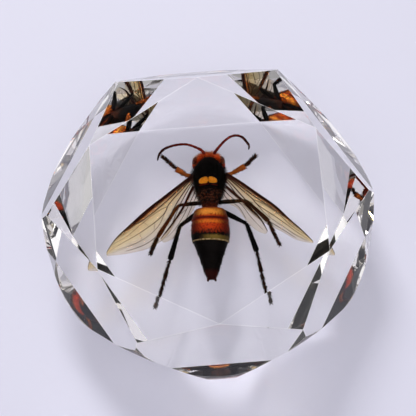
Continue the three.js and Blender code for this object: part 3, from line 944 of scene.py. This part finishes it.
def scatter(random, surface, low, high, arcs, count, reach, lean):
    """Hairs on a surface of two parameters: roots at random places, standing out along the normal,
    found from two small steps over the surface, and tilted along the body by lean."""
    s = random.uniform(low, high, count)
    a = np.radians(random.uniform(*arcs, count))
    root = surface(s, a)
    along = surface(s + 0.01, a) - root
    around = surface(s, a + 0.01) - root
    normal = unit(np.cross(along, around))
    centre = np.stack([0 * s, root[:, 1], 0 * s], axis=-1)
    normal *= np.sign(np.einsum("ij,ij->i", normal, root - centre))[:, None]
    wild = random.normal(0, 0.35, (count, 3))
    out = unit(normal + wild + np.array([0, lean, 0]))
    tip = root + reach * random.uniform(0.55, 1.15, (count, 1)) * out
    return spindles(root - 0.05 * normal, tip, [(0, 0.01), (0.05, 0.024), (0.5, 0.018), (1, 0.004)], 3)


class PAPERWEIGHT_OT_hair(bpy.types.Operator):
    """Make the hornet's hair: thin three-sided tapers scattered over its head, thorax and abdomen"""

    bl_idname = "paperweight.hair"
    bl_label = "Hornet hair"

    def execute(self, context):
        hornet = context.scene.paperweight_hornet
        random = np.random.default_rng(SEED)
        dark = [
            scatter(random, thorax_point, 1.6, 13.2, (-40, 220), 3600, 1.0, -0.4),
            scatter(random, abdomen_point, -16.4, 0.0, (-50, 230), 1500, 0.45, -0.9),
        ]
        pale = [scatter(random, head_point, -3.4, 3.4, (-80, 110), 1300, 0.55, 0.2)]
        for name, hairs, tint in (
            ("hornet_dark_hair", dark, rgb(26, 16, 10)),
            ("hornet_pale_hair", pale, rgb(206, 142, 84)),
        ):
            make_piece(name, [Skin(np.concatenate(hairs))], hornet, cuticle(name, tint, 0.5, 0.01),
                       hornet.lean)
        return {"FINISHED"}


# ---- Stage ----

# Places and sizes in metres, and the lens in millimetres.
FLOOR_REACH = 3.0
FLOOR_GAP = 0.3 * MM  # the floor lies this far below the base, because two faces in one plane render black
LAMP_PLACE = (-0.31, 1.015, 1.06)
LAMP_SIZE = 0.45
CARD_EDGE = (0.93, 0.97)  # cosines of the card's reach round the table face's mirror direction
LENS = 156.1
LENS_SHIFT = (-0.0005, -0.0257)
INDIRECT_LIMIT = 12.0
CLEAR_BOUNCES = 24


class PAPERWEIGHT_OT_stage(bpy.types.Operator):
    """Set out the pale floor, the soft lights and the camera"""

    bl_idname = "paperweight.stage"
    bl_label = "Studio"

    def execute(self, context):
        scene = context.scene
        stage = scene.paperweight_stage
        top = scene.paperweight_block.thickness
        mesh = bpy.data.meshes.new("floor")
        half = FLOOR_REACH
        corners = [(-half, -half), (half, -half), (half, half), (-half, half)]
        mesh.from_pydata([(x, y, -FLOOR_GAP) for x, y in corners], [], [(0, 1, 2, 3)])
        floor = bpy.data.objects.new("floor", mesh)
        scene.collection.objects.link(floor)
        shader = Shader("floor")
        surface = shader.principled(
            Base_Color=stage.floor, Roughness=0.6, Emission_Color=stage.glow, Emission_Strength=1.0
        )
        floor.data.materials.append(shader.finish(surface))
        scene.world = self.room(stage)
        light = bpy.data.lights.new("window", "AREA")
        light.size = LAMP_SIZE
        light.energy = stage.window
        lamp = bpy.data.objects.new("window", light)
        lamp.location = LAMP_PLACE
        lamp.rotation_euler = (-lamp.location).to_track_quat("-Z", "Y").to_euler()
        scene.collection.objects.link(lamp)
        camera = bpy.data.objects.new("camera", bpy.data.cameras.new("camera"))
        reach = stage.distance
        camera.location = (0, -reach * math.sin(stage.tilt), top + reach * math.cos(stage.tilt))
        camera.rotation_euler = (stage.tilt, 0, 0)
        camera.data.lens = LENS
        camera.data.shift_x, camera.data.shift_y = LENS_SHIFT
        camera.data.clip_start = 0.01
        scene.collection.objects.link(camera)
        scene.camera = camera
        scene.view_settings.view_transform = "Standard"
        cycles = scene.cycles
        # Light that runs through the block keeps its true path. Blurred, it leaves the inside too dark.
        cycles.blur_glossy = 0.0
        cycles.sample_clamp_indirect = INDIRECT_LIMIT
        cycles.max_bounces = CLEAR_BOUNCES
        cycles.transmission_bounces = CLEAR_BOUNCES
        cycles.glossy_bounces = 16
        cycles.transparent_max_bounces = 32
        return {"FINISHED"}

    @staticmethod
    def room(stage):
        """Soft light from above and in front, dark towards the floor, with a black card where the table
        face would mirror it to the camera."""
        shader = Shader("room", "worlds")
        _, y, z = shader.split(shader.node("ShaderNodeTexCoord"))
        front = 0.06 + 1.2 * y.step(0.4, -0.4)
        high = 0.12 + 0.88 * z.step(0.4, 0.75)
        card = (y * math.sin(stage.tilt) + z * math.cos(stage.tilt)).step(*CARD_EDGE)
        light = stage.sky * front * high * (1 - card)
        sockets = {"Color": (0.95, 0.94, 1.0, 1.0), "Strength": light}
        tent = shader.node("ShaderNodeBackground", None, sockets)
        shader.node("ShaderNodeOutputWorld", None, {"Surface": tent})
        return shader.made


# ---- Panel and registration ----

OPERATORS = [
    PAPERWEIGHT_OT_stage,
    PAPERWEIGHT_OT_block,
    PAPERWEIGHT_OT_body,
    PAPERWEIGHT_OT_feelers,
    PAPERWEIGHT_OT_legs,
    PAPERWEIGHT_OT_wings,
    PAPERWEIGHT_OT_hair,
]
GROUPS = {
    "paperweight_block": BlockSettings,
    "paperweight_hornet": HornetSettings,
    "paperweight_stage": StageSettings,
}


class PAPERWEIGHT_PT_panel(bpy.types.Panel):
    """The paperweight's steps and settings"""

    bl_idname = "PAPERWEIGHT_PT_panel"
    bl_label = "Paperweight"
    bl_space_type = "VIEW_3D"
    bl_region_type = "UI"
    bl_category = "Paperweight"

    def draw(self, context):
        for operator in OPERATORS:
            self.layout.operator(operator.bl_idname)
        for name, group in GROUPS.items():
            box = self.layout.box()
            for key in group.__annotations__:
                box.prop(getattr(context.scene, name), key)


def register():
    for cls in (*GROUPS.values(), *OPERATORS, PAPERWEIGHT_PT_panel):
        bpy.utils.register_class(cls)
    for name, group in GROUPS.items():
        setattr(bpy.types.Scene, name, bpy.props.PointerProperty(type=group))


def unregister():
    for name in GROUPS:
        delattr(bpy.types.Scene, name)
    for cls in reversed((*GROUPS.values(), *OPERATORS, PAPERWEIGHT_PT_panel)):
        bpy.utils.unregister_class(cls)


def main():
    register()
    for operator in OPERATORS:
        group, name = operator.bl_idname.split(".")
        getattr(getattr(bpy.ops, group), name)()


if __name__ == "__main__":
    main()
